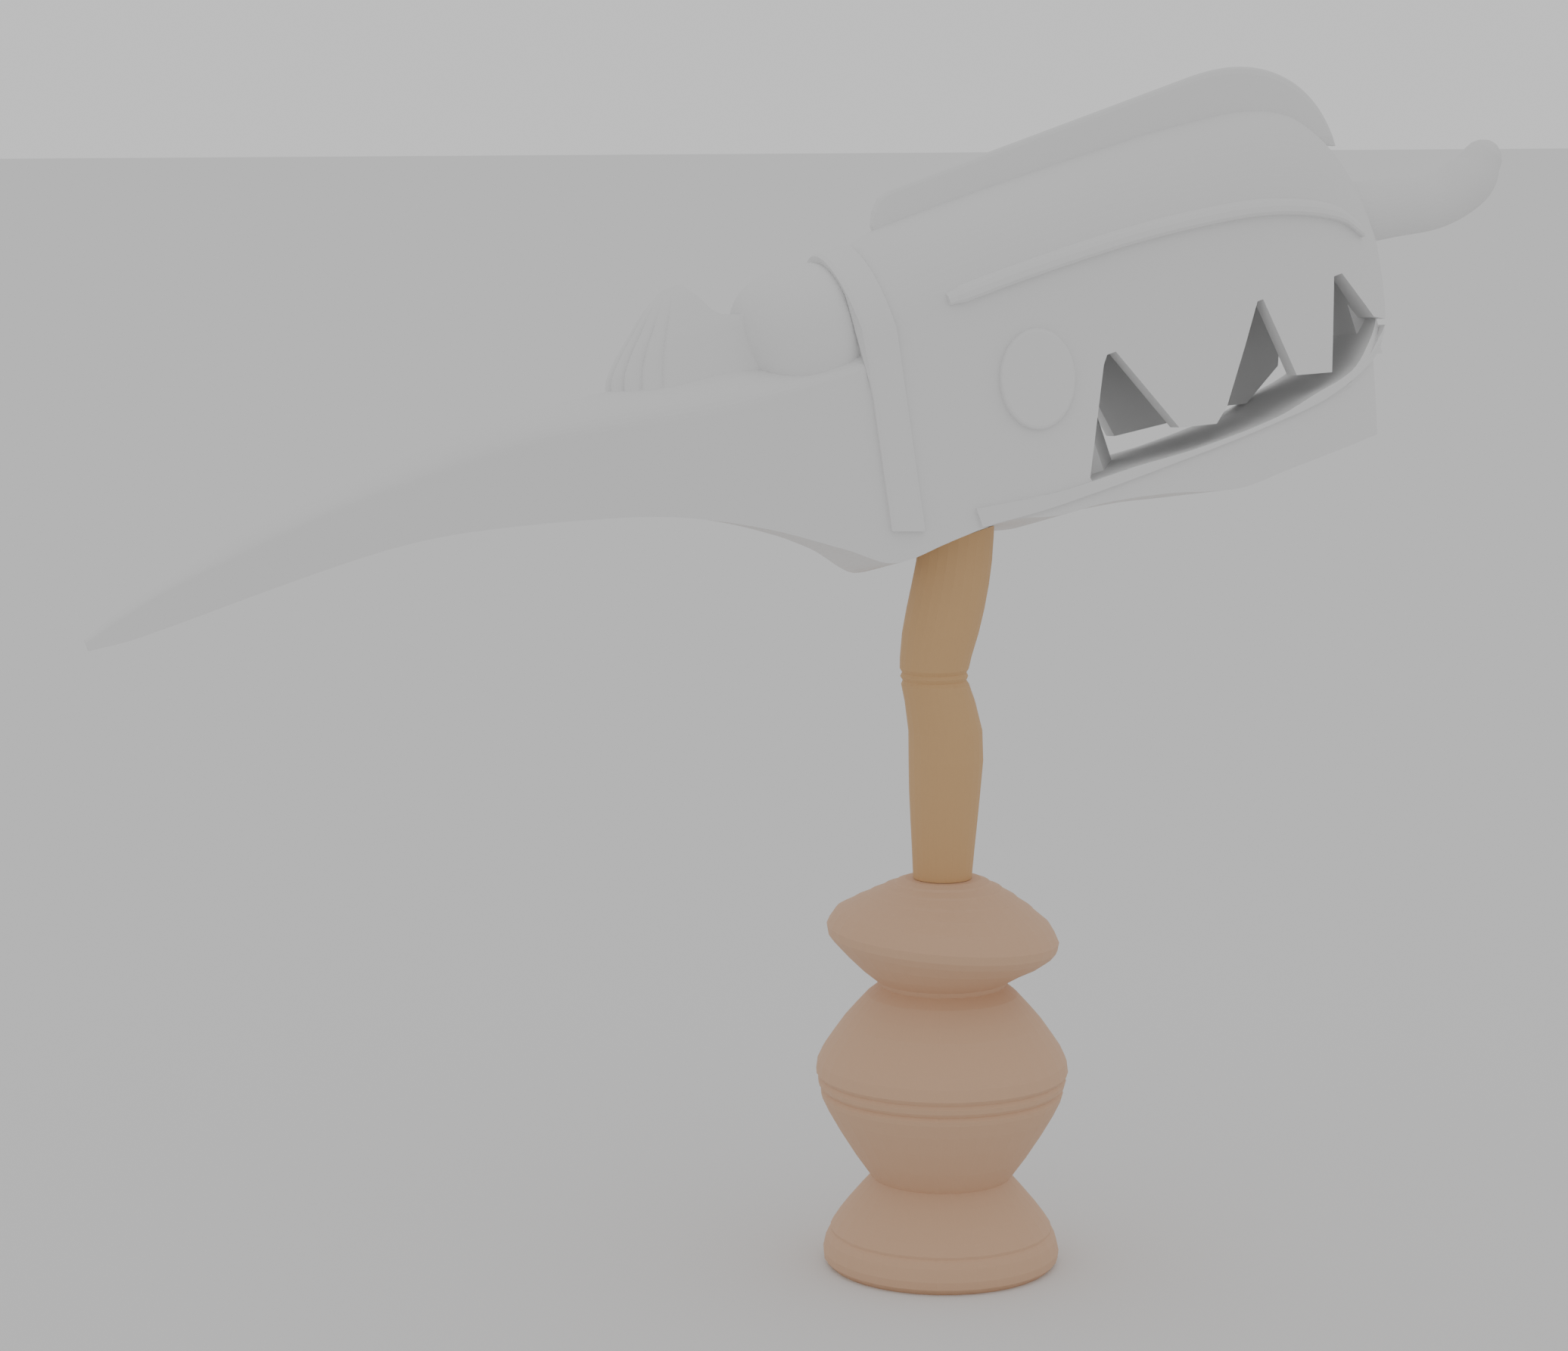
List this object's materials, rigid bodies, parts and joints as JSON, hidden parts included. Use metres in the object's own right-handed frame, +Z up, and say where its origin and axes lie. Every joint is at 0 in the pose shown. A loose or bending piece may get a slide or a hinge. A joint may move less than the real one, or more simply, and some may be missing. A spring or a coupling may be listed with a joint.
{
  "type": "carved shrine figure",
  "caption": "Long-beaked bird head with a crest, a hollow back and cut-out side walls, carved and painted wood, on a bent neck post and a turned stand.",
  "frame": {"origin": "centre of the foot's underside, which is the face that the figure stands on", "axes": "+Z up, the beak points to -X, the bun at the back of the head to +X, and -Y is the side that the picture shows"},
  "size_m": [0.912, 0.1612, 0.7606],
  "materials": {
    "head_wood": "carved softwood with worn matte paint in red, blue and bare wood colour",
    "neck_wood": "bare wood, hand polished, with dark stains",
    "stand_wood": "bare wood with a faint pale wash and dark patches"
  },
  "bodies": {
    "root": {"head": "head_wood", "neck": "neck_wood", "stand": "stand_wood"}
  },
  "joints": []
}
